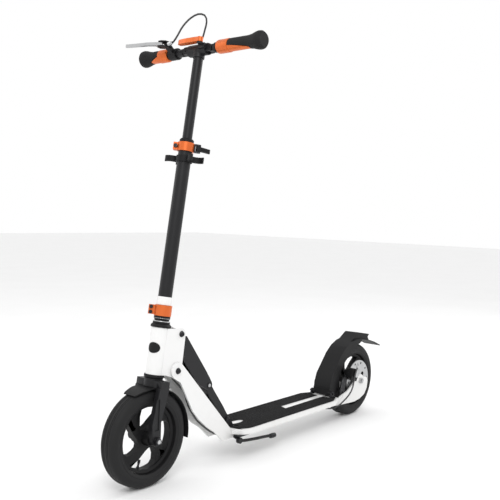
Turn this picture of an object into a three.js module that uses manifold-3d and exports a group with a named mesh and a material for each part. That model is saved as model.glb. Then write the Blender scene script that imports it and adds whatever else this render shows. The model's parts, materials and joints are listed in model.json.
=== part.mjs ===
// Kick scooter with two large air-tyred wheels, a folding steering column, folding handlebar
// arms, a hand-worked disc brake and a foot brake. Millimetres, +X forward, +Y rider's left,
// +Z up. Everything is laid out from the rear axle, then moved so that the origin lies under
// the middle of the scooter on the floor.
import * as THREE from 'three';
import { mergeVertices } from 'three/addons/utils/BufferGeometryUtils.js';
import Module from 'manifold-3d';

const wasm = await Module();
wasm.setup();

// ---- overall sizes ----
const wheelBase = 880;
const tyreR = 115;
const tyreHalfWidth = 25;
const treadFlatHalf = 9;
const tyreSides = 40;
const rimR = 82;
const steeringLean = 9.2 * Math.PI / 180;
const axleLead = 4;
const barHeight = 933;
const barHalf = 203;
const tailReach = 147;

// ---- clearances ----
const gap = 0.3;
const runGap = 0.4;

// ---- deck ----
const deckTop = 83;
const deckHalf = 66;
const deckPlate = 4;
const railDepth = 14;
const railWidth = 7;
const matThick = 1.8;
const matInset = 4.5;
const deckFront = wheelBase - 274;
const deckRear = tyreR + 17;
const ribIn = 29.5;
const ribOut = 35;

// ---- steering column, measured along the steering axis from the axle height ----
const steererR = 14;
const steererBore = 11;
const headR = 21.8;
const headBore = 17;
const headLow = tyreR + 32;
const headHigh = headLow + 110;
const stemR = 16.6;
const stemBore = 14.4;
const stemHigh = headLow + 556;
const clampR = stemR + 4;
const clampLow = headHigh + 27.5;
const clampTall = 25.5;
const tubeR = 12;
const tubeBore = 10;
const tubeLow = stemHigh - 155;

// ---- neck and folding strut ----
const frontX = wheelBase;
const foldX = frontX - 78;
const foldZ = tyreR + 149;
const foldEye = 20;
const linkTopX = frontX - 93;
const linkTopZ = tyreR + 235.5;
const strutLowX = deckFront - 3;
const strutLowZ = deckTop + 20;
const lowerLinkShare = 0.421;
const wallIn = 17.4;
const wallOut = 22;
const cheekOut = 28;
const boltR = 5;

// ---- handlebar ----
const teeR = 14.5;
const armR = 10;
const armPivotY = 40;
const gripCollarR = 16.6;
const gripPadR = 15.6;
const gripEndR = 21.5;

// ---- axles ----
const axleR = 5;
const forkIn = 30;
const forkOut = 43;
const stayIn = 41.5;
const stayOut = 46.5;
const rotorR = 64;
const rotorY = 35;

// ================= geometry helpers =================

// A closed body from a geometry, ready for joining and cutting.
function solid(geometry) {
  const g = geometry.clone();
  g.deleteAttribute('normal');
  g.deleteAttribute('uv');
  const m = mergeVertices(g, 1e-4);
  const mesh = new wasm.Mesh({
    numProp: 3,
    vertProperties: new Float32Array(m.attributes.position.array),
    triVerts: new Uint32Array(m.index.array),
  });
  return new wasm.Manifold(mesh);
}

function geometryOf(body) {
  const mesh = body.getMesh();
  const g = new THREE.BufferGeometry();
  g.setAttribute('position', new THREE.BufferAttribute(new Float32Array(mesh.vertProperties), 3));
  g.setIndex(new THREE.BufferAttribute(new Uint32Array(mesh.triVerts), 1));
  const flat = g.toNonIndexed();
  flat.computeVertexNormals();
  return flat;
}

function join(...parts) {
  return geometryOf(parts.map(solid).reduce((a, b) => a.add(b)));
}

function cut(base, ...tools) {
  return geometryOf(tools.map(solid).reduce((a, b) => a.subtract(b), solid(base)));
}

function common(a, b) {
  return geometryOf(solid(a).intersect(solid(b)));
}

function shapeOf(points, holes = []) {
  const shape = new THREE.Shape(points.map(([x, y]) => new THREE.Vector2(x, y)));
  for (const hole of holes) {
    shape.holes.push(new THREE.Path(hole.map(([x, y]) => new THREE.Vector2(x, y))));
  }
  return shape;
}

function ring(x, y, r, count = 20) {
  return Array.from({ length: count }, (_, i) => {
    const a = 2 * Math.PI * i / count;
    return [x + r * Math.cos(a), y + r * Math.sin(a)];
  });
}

function arc(x, y, r, from, to, count) {
  return Array.from({ length: count + 1 }, (_, i) => {
    const a = (from + (to - from) * i / count) * Math.PI / 180;
    return [x + r * Math.cos(a), y + r * Math.sin(a)];
  });
}

// An outline in plan view, raised from z0 to z1.
function slabZ(points, z0, z1, holes) {
  const g = new THREE.ExtrudeGeometry(shapeOf(points, holes), { depth: z1 - z0, bevelEnabled: false });
  return g.translate(0, 0, z0);
}

// An outline in side view (x, z), running across from y0 to y1.
function slabY(points, y0, y1, holes) {
  const g = new THREE.ExtrudeGeometry(shapeOf(points, holes), { depth: y1 - y0, bevelEnabled: false });
  return g.rotateX(Math.PI / 2).translate(0, y1, 0);
}

// An outline in front view (y, z), running forward from x0 to x1.
function slabX(points, x0, x1, holes) {
  const g = new THREE.ExtrudeGeometry(shapeOf(points, holes), { depth: x1 - x0, bevelEnabled: false });
  return g.rotateZ(Math.PI / 2).rotateY(Math.PI / 2).translate(x0, 0, 0);
}

function box(x0, x1, y0, y1, z0, z1) {
  return slabZ([[x0, y0], [x1, y0], [x1, y1], [x0, y1]], z0, z1);
}

// A turned body about Z. The profile is a list of [radius, height].
function turned(profile, sides = 20) {
  const points = profile.map(([r, h]) => new THREE.Vector2(r, h));
  return new THREE.LatheGeometry(points, sides).rotateX(Math.PI / 2);
}

function rod(r, z0, z1, sides = 16) {
  return turned([[0, z0], [r, z0], [r, z1], [0, z1]], sides);
}

function tube(rIn, rOut, z0, z1, sides = 20) {
  return turned([[rIn, z0], [rOut, z0], [rOut, z1], [rIn, z1], [rIn, z0]], sides);
}

// Turns a body built about Z so that it lies along +Y, then moves it.
function alongY(geometry, x = 0, y = 0, z = 0) {
  return geometry.rotateX(-Math.PI / 2).translate(x, y, z);
}

function alongX(geometry, x = 0, y = 0, z = 0) {
  return geometry.rotateY(Math.PI / 2).translate(x, y, z);
}

// Moves a body built about Z onto the leaning steering axis.
function onColumn(geometry) {
  return geometry.rotateY(-steeringLean).translate(wheelBase - axleLead, 0, tyreR);
}

function columnPoint(along, forward = 0, side = 0) {
  const c = Math.cos(steeringLean);
  const s = Math.sin(steeringLean);
  return [wheelBase - axleLead - along * s + forward * c, side, tyreR + along * c + forward * s];
}

// A round cord through hand-placed points.
function cord(points, r, steps, sides = 6) {
  const curve = new THREE.CatmullRomCurve3(points.map((p) => new THREE.Vector3(...p)), false, 'centripetal');
  return new THREE.ExtrudeGeometry(shapeOf(ring(0, 0, r, sides)),
    { extrudePath: curve, steps, bevelEnabled: false });
}

const group = new THREE.Group();
const midX = (wheelBase + tyreR - tailReach) / 2;

function add(name, geometry, look) {
  const [colour, roughness, metalness] = look;
  const material = new THREE.MeshStandardMaterial({ color: colour, roughness, metalness });
  geometry.translate(-midX, 0, 0);
  const mesh = new THREE.Mesh(geometry, material);
  mesh.name = name;
  group.add(mesh);
}

const white = [0xf0f0ee, 0.35, 0.1];
const charcoal = [0x2c2c2e, 0.5, 0.3];
const blackPlastic = [0x1d1d1f, 0.6, 0.0];
const rubber = [0x202022, 0.85, 0.0];
const orange = [0xd8642c, 0.3, 0.7];
const steel = [0xb4b5b6, 0.3, 0.9];
const darkSteel = [0x3a3a3c, 0.4, 0.8];
const grit = [0x1b1b1c, 0.95, 0.0];

// ================= deck =================

function deckOutline(inset) {
  const w = deckHalf - inset;
  const f = deckFront - inset;
  const r = deckRear + inset;
  return [
    [r, -w + 18], [r + 40, -w],
    ...arc(f - 46, -w + 46, 46, -90, 0, 7),
    ...arc(f - 46, w - 46, 46, 0, 90, 7),
    [r + 40, w], [r, w - 18],
  ];
}

function makeDeck() {
  const plate = slabZ(deckOutline(0), deckTop - deckPlate, deckTop);
  const rail = slabZ(deckOutline(0), deckTop - railDepth, deckTop, [deckOutline(railWidth)]);
  const wheelWell = box(deckRear - 20, deckRear + 12, -31, 31, deckTop - 40, deckTop + 5);
  const noseGap = box(deckFront - 20, deckFront + 5, -cheekOut - 1, cheekOut + 1,
    deckTop - 40, deckTop - deckPlate);
  const ribs = [-1, 1].map((side) => {
    const [a, b] = [side * ribIn, side * ribOut].sort((p, q) => p - q);
    return box(deckRear + 8, deckFront - 6, a, b, deckTop - 17, deckTop - 1);
  });
  const stayRoom = [-1, 1].map((side) => {
    const [a, b] = [side * (stayIn - gap), side * (stayOut + gap)].sort((p, q) => p - q);
    return box(deckRear - 5, deckRear + 71, a, b, deckTop - 40, deckTop - deckPlate);
  });
  return cut(join(plate, rail, ...ribs), wheelWell, noseGap, ...stayRoom);
}

function makeMat() {
  const low = deckTop + gap;
  const sheet = slabZ(deckOutline(matInset), low, low + matThick);
  const stripe = slabZ([[deckRear, -11], [deckFront - 264, -13], [deckFront - 254, 13], [deckRear, 11]],
    low - 1, low + matThick + 1);
  const label = slabZ(ring(0, 0, 1, 24).map(([x, y]) => [deckFront - 52 + 27 * x, 12 * y]),
    low - 1, low + matThick + 1);
  const strutRoom = box(deckFront - 30, deckFront + 5, -19, 19, low - 1, low + matThick + 1);
  const fenderRoom = box(deckRear - 5, deckRear + 27, -40.5, 40.5, low - 1, low + matThick + 1);
  return cut(sheet, stripe, label, strutRoom, fenderRoom);
}

// ---- neck: a channel open to the front, which climbs from under the deck to the fold bolt ----

const neckFoot = [deckFront + 0.4, deckTop];
const neckReach = Math.hypot(foldX - neckFoot[0], foldZ - neckFoot[1]);
const neckAngle = Math.atan2(foldZ - neckFoot[1], foldX - neckFoot[0]) + Math.asin(foldEye / neckReach);

function neckRear(along, inward = 0) {
  const c = Math.cos(neckAngle);
  const s = Math.sin(neckAngle);
  return [neckFoot[0] + along * c + inward * s, neckFoot[1] + along * s - inward * c];
}

function neckFront() {
  const k = tyreR / 115;
  return [[-88, 119], [-101, 96], [-118, 66], [-132, 41], [-155, 15], [-184, -10], [-212, -28]]
    .map(([x, z]) => [frontX + k * x, tyreR + k * z]);
}

function makeNeck() {
  const under = deckTop - deckPlate - gap;
  const base = under - 20;
  const top = arc(foldX, foldZ, foldEye, neckAngle * 180 / Math.PI + 90, -52, 12);
  const outline = [
    neckFoot, ...top, ...neckFront(), [deckFront + 30, base - 2],
    [deckFront - 70, base], [deckFront - 100, base + 8], [deckFront - 100, under], [neckFoot[0], under],
  ];
  const cheeks = [-1, 1].map((side) => {
    const [a, b] = [side * (wallOut + 0.5), side * cheekOut].sort((p, q) => p - q);
    return slabY(outline, a, b);
  });
  const span = neckReach - 42;
  const web = slabY([
    neckFoot, neckRear(span), neckRear(span, 6), neckRear(10, 6),
    [neckFoot[0] + 10, under - 6], [deckFront - 100, under - 6], [deckFront - 100, under], [neckFoot[0], under],
  ], -wallOut - 1, wallOut + 1);
  return cut(join(...cheeks, web), alongY(rod(boltR + gap, -40, 40), foldX, 0, foldZ));
}

function makeStrutBracket() {
  const low = deckTop + gap;
  const ears = [-1, 1].map((side) => {
    const [a, b] = [side * 12, side * 16].sort((p, q) => p - q);
    return slabY([
      [strutLowX - 22, low], [strutLowX + 2, low], ...arc(strutLowX, strutLowZ, 8.5, -20, 170, 10),
    ], a, b);
  });
  const foot = box(strutLowX - 22, strutLowX + 2, -16, 16, low, low + 3.5);
  return cut(join(...ears, foot), alongY(rod(4.3, -30, 30), strutLowX, 0, strutLowZ));
}

// A plain pin across the scooter with a thin round head at each end.
function crossPin(x, z, r, headR0, half, headTall) {
  return alongY(turned([
    [0, -half - headTall], [headR0 * 0.7, -half - headTall], [headR0, -half], [r, -half], [r, half],
    [headR0, half], [headR0 * 0.7, half + headTall], [0, half + headTall],
  ], 14), x, 0, z);
}

// ---- rear stays, one plate on each side of the wheel ----

// Points drawn for a wheel of radius 115 and a deck top at 83, carried to the present sizes.
function atWheel(points) {
  const k = tyreR / 115;
  return points.map(([x, z]) => [k * x,
    z > 115 ? k * z : deckTop + (z - 83) * (tyreR - deckTop) / 32]);
}

function makeStay(side) {
  const [a, b] = [side * stayIn, side * stayOut].sort((p, q) => p - q);
  const under = deckTop - deckPlate - gap;
  const outline = [
    [deckRear + 70, under], [deckRear - 8, under], ...atWheel([[112, 84], [74, 93], [44, 110], [20, 129]]),
    ...arc(0, tyreR, 20, 60, 150, 5), [-38, tyreR + 6], [-46, tyreR - 8], [-42, tyreR - 30],
    [-27, tyreR - 49], [0, tyreR - 59], [30, tyreR - 63], [60, tyreR - 62], [deckRear - 10, 57],
    [deckRear + 70, 63],
  ];
  return slabY(outline, a, b, [ring(0, tyreR, axleR + gap, 16)]);
}

// Wheel axle with a fixed head on the right. The nut goes on the left.
function makeAxle(x, faceY) {
  const head = -faceY - gap;
  return alongY(turned([
    [0, head - 7], [7.5, head - 7], [9.5, head - 5], [9.5, head], [axleR, head], [axleR, faceY + 9.5],
    [0, faceY + 9.5],
  ], 16), x, 0, tyreR);
}

function makeNut(x, faceY) {
  const hexagon = slabZ(ring(0, 0, 9.5, 6), faceY + gap, faceY + gap + 7, [ring(0, 0, axleR + gap, 16)]);
  return alongY(hexagon, x, 0, tyreR);
}

// Mirroring turns a body inside out, so its faces are turned round again.
function mirrorY(geometry) {
  const g = geometry.clone().scale(1, -1, 1);
  const plain = g.index ? g.toNonIndexed() : g;
  const p = plain.attributes.position;
  for (let i = 0; i < p.count; i += 3) {
    const a = [p.getX(i), p.getY(i), p.getZ(i)];
    p.setXYZ(i, p.getX(i + 1), p.getY(i + 1), p.getZ(i + 1));
    p.setXYZ(i + 1, ...a);
  }
  plain.computeVertexNormals();
  return plain;
}

// ---- rear brake ----

const caliperAngle = 28 * Math.PI / 180;
const caliperX = (rotorR - 8) * Math.cos(caliperAngle);
const caliperZ = tyreR + (rotorR - 8) * Math.sin(caliperAngle);

function makeCaliper() {
  const block = slabY([[-17, -15], [15, -17], [19, -6], [19, 13], [8, 19], [-13, 17], [-19, 6]], 28, 57);
  const slot = box(-40, 12, rotorY - 1.8, rotorY + 1.8, -40, 40);
  const boss = alongY(rod(9, 56.5, 61), 2, 0, 1);
  const shaped = cut(join(block, boss), slot);
  return shaped.rotateY(-caliperAngle).translate(caliperX, 0, caliperZ);
}

function makeCaliperBracket() {
  const plate = slabY([
    ...atWheel([[86, 83], [104, 80], [109, 98], [103, 122], [92, 138]]), [caliperX + 24, caliperZ + 4],
    [caliperX + 23, caliperZ - 12], ...atWheel([[80, 108]]),
  ], 37.4, 41.1);
  const [[boltX, boltZ]] = atWheel([[96, 92]]);
  return cut(plate, alongY(rod(3, 30, 60), boltX, 0, boltZ));
}

function makeCaliperArm() {
  const arm = slabY([...arc(0, 0, 8, 60, 300, 10), [16, -5.5], ...arc(32, 1, 5, -80, 80, 6), [16, 6.5]],
    61.4, 64.4, [ring(32, 1, 2, 10)]);
  const turn = 1.75;
  return arm.rotateY(-turn).translate(...caliperBoss());
}

function caliperBoss() {
  const c = Math.cos(caliperAngle);
  const s = Math.sin(caliperAngle);
  return [caliperX + 2 * c - 1 * s, 0, caliperZ + 2 * s + 1 * c];
}

// ---- kickstand under the left side of the deck ----

const standX = deckFront - 4;
const standY = 50;
const standZ = deckTop - railDepth - 12;

function makeStandBracket() {
  const low = deckTop - railDepth - gap;
  const block = box(standX - 40, standX + 2, 36, 58, low - 3, low);
  const tab = slabY([[standX - 30, low - 2], [standX + 1, low - 2], [standX + 4, low - 7], [standX - 6, low - 14],
    [standX - 18, low - 12]], 36.2, 39);
  return join(block, tab);
}

function makeStand() {
  const y = standY;
  const path = [
    [standX - 5, y - 2, standZ - 3], [standX - 20, y + 1, standZ - 6], [standX - 60, y + 6, standZ - 9],
    [standX - 110, y + 10, standZ - 12], [standX - 128, y + 12, standZ - 14],
  ];
  const leg = cord(path, 4.2, 14, 8);
  const foot = new THREE.LatheGeometry(
    [[0, -11], [6, -10], [6.8, 0], [6, 9], [0, 10]].map(([r, h]) => new THREE.Vector2(r, h)), 12)
    .rotateZ(Math.PI / 2).rotateZ(-0.1).translate(standX - 130, y + 12, standZ - 14);
  const knuckle = alongY(rod(8, -4.5, 5, 16), standX - 7, standY - 1, standZ - 3);
  return join(leg, foot, knuckle);
}

// ================= links =================

const upperDir = Math.atan2(linkTopZ - strutLowZ, linkTopX - strutLowX);
const strutSpan = Math.hypot(linkTopZ - strutLowZ, linkTopX - strutLowX);
const lowerLink = strutSpan * lowerLinkShare;
const upperLink = strutSpan - lowerLink;
const kneeX = strutLowX + lowerLink * Math.cos(upperDir);
const kneeZ = strutLowZ + lowerLink * Math.sin(upperDir);

// Side-view outline along the strut line: u runs up the line, v towards the rear.
function strutSide(originX, originZ, points) {
  const c = Math.cos(upperDir);
  const s = Math.sin(upperDir);
  return points.map(([u, v]) => [originX + u * c - v * s, originZ + u * s + v * c]);
}

function makeLowerLink() {
  const half = 11.4;
  const outline = [
    ...arc(0, 0, 9, 110, 250, 8), [24, -9], [50, -11], [lowerLink - 30, -11.5],
    ...arc(lowerLink, 0, 10.5, -80, 80, 8), [lowerLink - 30, 9.5], [40, 10], [20, 9],
  ];
  const body = slabY(strutSide(strutLowX, strutLowZ, outline), -half, half);
  const bore = alongY(rod(4.3, -30, 30, 16), strutLowX, 0, strutLowZ);
  const relief = slabY(strutSide(strutLowX, strutLowZ, [
    [22, -20], [lowerLink - 22, -20], [lowerLink - 24, 4], [24, 4]]), -8, 8);
  return cut(body, bore, relief);
}

function makeUpperLink() {
  const plateIn = 12.6;
  const plateOut = 16.6;
  const end = upperLink;
  const side = [
    ...arc(0, 0, 12, 100, 240, 8), [22, -22], [40, -26], [end - 38, -28], [end - 21, 13], [16, 13.5],
  ];
  const plates = [-1, 1].map((hand) => {
    const [a, b] = [hand * plateIn, hand * plateOut].sort((p, q) => p - q);
    return slabY(strutSide(kneeX, kneeZ, side), a, b);
  });
  const web = slabY(strutSide(kneeX, kneeZ, [[30, 11], [end - 22, 11], [end - 21, 14], [30, 14]]),
    -plateOut, plateOut);
  const bridge = slabY(strutSide(kneeX, kneeZ, [[end - 56, -20], [end - 38, -20], [end - 29, 12], [end - 56, 12]]),
    -plateOut + 1, plateOut - 1);
  const tongue = slabY(strutSide(kneeX, kneeZ, [[end - 60, -8], ...arc(end, 0, 11, -70, 70, 8), [end - 60, 8]]),
    -11, 11);
  const bore = alongY(rod(boltR + gap, -30, 30, 18), linkTopX, 0, linkTopZ);
  const rivets = [-1, 1].map((hand) => {
    const [a, b] = [hand * (plateIn + 1), hand * (plateOut + 1.6)].sort((p, q) => p - q);
    return alongY(rod(6, a, b, 16), kneeX, 0, kneeZ);
  });
  return cut(join(...plates, web, bridge, tongue, ...rivets), bore);
}

// ================= head =================

function cableExit() {
  return cord([columnPoint(244, -2), columnPoint(216, -18, 3), columnPoint(186, -36, 6)], 5, 3, 10);
}

function makeHeadCasting() {
  const barrel = onColumn(tube(headBore, headR, headLow, headHigh, 26));
  const ear = arc(linkTopX, linkTopZ, 14, 80, 190, 8);
  const rearFold = arc(foldX, foldZ, foldEye - 1, 165, 300, 8);
  const [bx, , bz] = columnPoint(headLow + 0.01, -2);
  const [tx, , tz] = columnPoint(headHigh - 0.01, -2);
  const [ex, , ez] = columnPoint(headHigh - 0.01, -18);
  const [fx, , fz] = columnPoint(headLow + 0.01, -18);
  const outline = [[tx, tz], [ex, ez], ...ear, ...rearFold, [fx, fz], [bx, bz]];
  const walls = [-1, 1].map((side) => {
    const [a, b] = [side * wallIn, side * wallOut].sort((p, q) => p - q);
    return slabY(outline, a, b);
  });
  const [cx, , cz] = columnPoint(headLow, -27);
  const [dx, , dz] = columnPoint(headHigh, -27);
  const spine = slabY([[fx, fz], [ex, ez], [dx, dz], [cx, cz]], -wallIn - 1, wallIn + 1);
  return cut(join(barrel, ...walls, spine),
    onColumn(rod(headBore, headLow - 30, headHigh + 30, 26)),
    alongY(rod(boltR + gap, -40, 40), foldX, 0, foldZ),
    alongY(rod(boltR + gap, -40, 40), linkTopX, 0, linkTopZ),
    cableExit());
}

function makeLowerCup() {
  return onColumn(turned([
    [steererR + runGap, headLow - 9], [21.5, headLow - 9], [24, headLow - 6], [24, headLow - gap],
    [headBore - gap, headLow - gap], [headBore - gap, headLow + 9], [steererR + runGap, headLow + 9],
    [steererR + runGap, headLow - 9],
  ], 24));
}

function makeUpperCup() {
  return onColumn(turned([
    [steererR + runGap, headHigh - 9], [headBore - gap, headHigh - 9], [headBore - gap, headHigh + gap],
    [24.4, headHigh + gap], [24.4, headHigh + 5], [22, headHigh + 8.6], [steererR + runGap, headHigh + 8.6],
    [steererR + runGap, headHigh - 9],
  ], 24));
}

function makeHeadsetNut() {
  return onColumn(turned([
    [steererR + gap, headHigh + 9], [20.5, headHigh + 9], [20.5, headHigh + 13], [17.5, headHigh + 15],
    [17.5, headHigh + 19], [19.5, headHigh + 20.5], [19.5, headHigh + 27], [steererR + gap, headHigh + 27],
    [steererR + gap, headHigh + 9],
  ], 24));
}

// A thin plain oval plate, curved round the front left of the head barrel. It carries no mark.
function makeBadge() {
  const shell = tube(headR + gap, headR + 1.8, headLow + 45, headLow + 79, 36);
  const oval = slabX(ring(0, 0, 1, 24).map(([y, z]) => [15 * y, headLow + 62 + 12.5 * z]), 0, 40);
  return onColumn(common(shell, oval).rotateZ(0.3));
}

// ================= fork and column =================

function makeFork() {
  const steerer = onColumn(tube(steererBore, steererR, tyreR + 10, clampLow + 28, 22));
  const crownTop = headLow - 9 - gap;
  const crownShape = [[-13, -30], [13, -30], [15, -20], [15, 20], [13, 30], [-13, 30], [-15, 20], [-15, -20]];
  const neckPart = onColumn(turned([[0, tyreR + 4], [22, tyreR + 4], [22, crownTop], [0, crownTop]], 22));
  const shoulders = onColumn(slabZ(crownShape.map(([x, y]) => [x, y * forkOut / 30]),
    tyreR + 3, crownTop - 3));
  const legs = [-1, 1].map((side) => {
    const [a, b] = [side * forkIn, side * forkOut].sort((p, q) => p - q);
    const [tx, , tz] = columnPoint(tyreR + 6);
    return slabY([
      [tx + 15, tz], [tx - 15, tz], [frontX - 13, tyreR + 40], ...arc(frontX, tyreR, 13, 170, 370, 10),
      [frontX + 14, tyreR + 40],
    ], a, b);
  });
  const grooves = [-1, 1].map((side) => {
    const [a, b] = [side * (forkOut - 2), side * (forkOut + 1)].sort((p, q) => p - q);
    return slabY([[frontX - 8, tyreR + 96], [frontX - 6, tyreR + 24], [frontX + 6, tyreR + 24],
      [frontX + 4, tyreR + 96]], a, b);
  });
  const wheelRoom = alongY(turned([[0, -forkIn], [tyreR + 5, -forkIn], [tyreR + 5, forkIn], [0, forkIn]], 48),
    frontX, 0, tyreR);
  const axleBore = alongY(rod(axleR + gap, -60, 60, 16), frontX, 0, tyreR);
  const inside = onColumn(rod(steererBore, tyreR + 14, clampLow + 60, 22));
  return cut(join(steerer, neckPart, shoulders, ...legs), inside, wheelRoom, axleBore, ...grooves, cableExit());
}

function makeFrontFender() {
  const inner = tyreR + 2;
  const outer = tyreR + 4.5;
  const band = slabY([...arc(frontX, tyreR, outer, 66, 190, 22), ...arc(frontX, tyreR, inner, 190, 66, 22)], -27, 27);
  const plan = slabZ([[frontX - 160, -27], [frontX + 18, -27], [frontX + 44, -21], [frontX + 60, -12],
    [frontX + 60, 12], [frontX + 44, 21], [frontX + 18, 27], [frontX - 160, 27]], 0, 3 * tyreR);
  return common(band, plan);
}

// Two ears and the split of a clamp ring, pointing along the angle given.
function clampRing(low, tall, inner, outer, earReach, angle) {
  const ringBody = tube(inner, outer, low, low + tall, 24);
  const ears = [-1, 1].map((hand) => {
    const [a, b] = [hand * 1.2, hand * 8].sort((p, q) => p - q);
    return box((inner + outer) / 2, earReach, a, b, low + 1.5, low + tall - 1.5);
  });
  const split = box(inner - 3, outer + 3, -1.2, 1.2, low - 1, low + tall + 1);
  return cut(join(ringBody, ...ears), split).rotateZ(angle);
}

const lowerClampAngle = -50 * Math.PI / 180;
const upperClampAngle = -50 * Math.PI / 180;
const lowerEarReach = clampR + 13.4;
const upperEarReach = clampR + 9.4;
const upperClampLow = stemHigh - 22;
const upperClampTall = 21.5;

// A bolt that crosses the ears of a clamp.
function earBolt(along, reach, angle, bore, head, tail) {
  const body = turned([[0, -tail], [bore, -tail], [bore, 8 + gap], [head, 8 + gap], [head, 12], [0, 12]], 14);
  return onColumn(body.rotateX(-Math.PI / 2).translate(reach, 0, along).rotateZ(angle));
}

function boredClamp(low, tall, reach, angle, boltHeights, bore) {
  const body = clampRing(low, tall, stemR + gap, clampR, reach, angle);
  const bores = boltHeights.map((h) => rod(bore, -30, 30, 14).rotateX(-Math.PI / 2)
    .translate(reach - 6, 0, h).rotateZ(angle));
  return onColumn(cut(body, ...bores));
}

function makeStemTube() {
  return onColumn(tube(stemBore, stemR, clampLow + 0.2, stemHigh, 24));
}

function makeBush() {
  return onColumn(turned([
    [tubeR + gap, stemHigh - 30], [stemBore - gap, stemHigh - 30], [stemBore - gap, stemHigh + gap],
    [17.4, stemHigh + gap], [17.4, stemHigh + 6], [15.2, stemHigh + 9], [tubeR + gap, stemHigh + 9],
    [tubeR + gap, stemHigh - 30],
  ], 22));
}

// One band round the stem with an open cup on each side, which holds the folded grips.
function makeGripClips() {
  const low = stemHigh - 48;
  const high = low + 15;
  const band = tube(stemR + gap, stemR + 3.4, low, high, 22);
  const cups = [-1, 1].map((side) => {
    const centre = side * armPivotY;
    const mouth = side > 0 ? 90 : -90;
    const outer = arc(0, centre, gripCollarR + 4.2, mouth + 72, mouth + 288, 16);
    const inner = arc(0, centre, gripCollarR + 1, mouth + 288, mouth + 72, 16);
    return slabZ([...outer, ...inner], low, high);
  });
  const arms = [-1, 1].map((side) => {
    const [a, b] = [side * (stemR + 1), side * (armPivotY - gripCollarR - 1.5)].sort((p, q) => p - q);
    return box(-6, 6, a, b, low, high);
  });
  return onColumn(cut(join(band, ...cups, ...arms), rod(stemR + gap, low - 1, high + 1, 22)));
}

function makeClampLever() {
  const head = rod(6.5, -7, 7, 16);
  const blade = slabZ([[-4, -4], [10, -6], [30, -5], [34, -1], [33, 3], [12, 4.5], [-3, 5]], -5, 5);
  const body = cut(join(head, blade), rod(2.9, -20, 20, 12));
  return onColumn(body.rotateZ(Math.PI * 0.93).translate(...upperLeverPivot()));
}

// The quick-release lever turns on a post behind the upper clamp, at its rear left.
function upperLeverPivot() {
  const a = upperClampAngle + Math.PI;
  return [upperEarReach * Math.cos(a), upperEarReach * Math.sin(a), upperClampLow + upperClampTall / 2];
}

function makeLeverPost() {
  const [x, y, z] = upperLeverPivot();
  const yoke = box(-9, 1, -6, 6, -10.2, 10.2);
  const room = box(-7.4, 12, -12, 12, -7 - gap, 7 + gap);
  const tabs = [-1, 1].map((hand) => {
    const [a, b] = [hand * (7 + gap), hand * 10.2].sort((p, q) => p - q);
    return rod(6, a, b, 16);
  });
  const pin = rod(2.5, -10, 10, 12);
  const arm = cut(yoke, room);
  const fromRing = upperClampAngle + Math.PI;
  return onColumn(join(arm, ...tabs, pin).rotateZ(fromRing).translate(x, y, z));
}

// ================= wheels =================

// The tread is turned so that a flat of its many-sided outline meets the floor.
function makeTyre(x) {
  const grow = 1 / Math.cos(Math.PI / tyreSides);
  const wall = tyreR - rimR;
  const half = tyreHalfWidth;
  const left = [
    [tyreR, treadFlatHalf], [tyreR - 0.1 * wall, half * 0.74], [tyreR - 0.28 * wall, half * 0.965],
    [tyreR - 0.52 * wall, half], [tyreR - 0.78 * wall, half * 0.92], [rimR, half * 0.7],
    [rimR - 1.5, half * 0.52],
  ];
  const right = left.map(([r, y]) => [r, -y]).reverse();
  const profile = [...right, ...left, right[0]].map(([r, y]) => [r * grow, y]);
  return alongY(turned(profile, tyreSides).rotateZ(Math.PI / tyreSides), x, 0, tyreR);
}

// Rim with four swept sickle spokes that leave four teardrop openings. Each opening is drawn
// as [share of the rim radius, degrees past its pointed end].
const opening = [[0.91, 0], [0.915, 20], [0.915, 40], [0.9, 55], [0.83, 64], [0.68, 72], [0.52, 76], [0.39, 76],
  [0.325, 66], [0.33, 45], [0.385, 30], [0.485, 20], [0.65, 10], [0.8, 3]];

function makeRim(x, hubLeft, hubRight, tip) {
  const outer = rimR - 1.5 - gap;
  const barrel = turned([
    [outer - 7, -11], [outer, -13.5], [outer, 13.5], [outer - 7, 11], [outer - 7, -11],
  ], 44);
  const drops = [0, 90, 180, 270].map((k) => opening.map(([share, past]) => {
    const a = (past + k - tip) * Math.PI / 180;
    return [outer * share * Math.cos(a), outer * share * Math.sin(a)];
  }));
  const disc = slabZ(ring(0, 0, outer - 4, 44), -9, 9, drops);
  const hub = rod(17, -hubRight, hubLeft, 20);
  const body = cut(join(barrel, disc, hub), rod(axleR + runGap, -60, 60, 16));
  return alongY(body, x, 0, tyreR);
}

function makeValve(x, degrees) {
  const top = rimR - 10;
  const stem = turned([
    [0, top - 20], [3.2, top - 20], [3.6, top - 12], [2.6, top - 11.4], [2.6, top - 4], [4.2, top - 3], [4.2, top],
    [0, top],
  ], 10);
  return stem.rotateY(Math.PI / 2 - degrees * Math.PI / 180).translate(x, 0, tyreR);
}

function makeRotor() {
  const count = 10;
  const holes = [];
  for (let i = 0; i < count; i += 1) {
    const a = 2 * Math.PI * i / count;
    holes.push(ring((rotorR - 9) * Math.cos(a), (rotorR - 9) * Math.sin(a), 3.6, 8));
  }
  for (let i = 0; i < 6; i += 1) {
    const a = 2 * Math.PI * (i + 0.5) / 6;
    holes.push(ring(32 * Math.cos(a), 32 * Math.sin(a), 8, 10));
  }
  holes.push(ring(0, 0, axleR + 4, 16));
  return alongY(slabZ(ring(0, 0, rotorR, 44), rotorY - 1, rotorY + 1, holes), 0, 0, tyreR);
}

// ================= foot brake =================

const brakePivotX = deckRear + 16;
const brakePivotZ = deckTop + 12;

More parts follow.
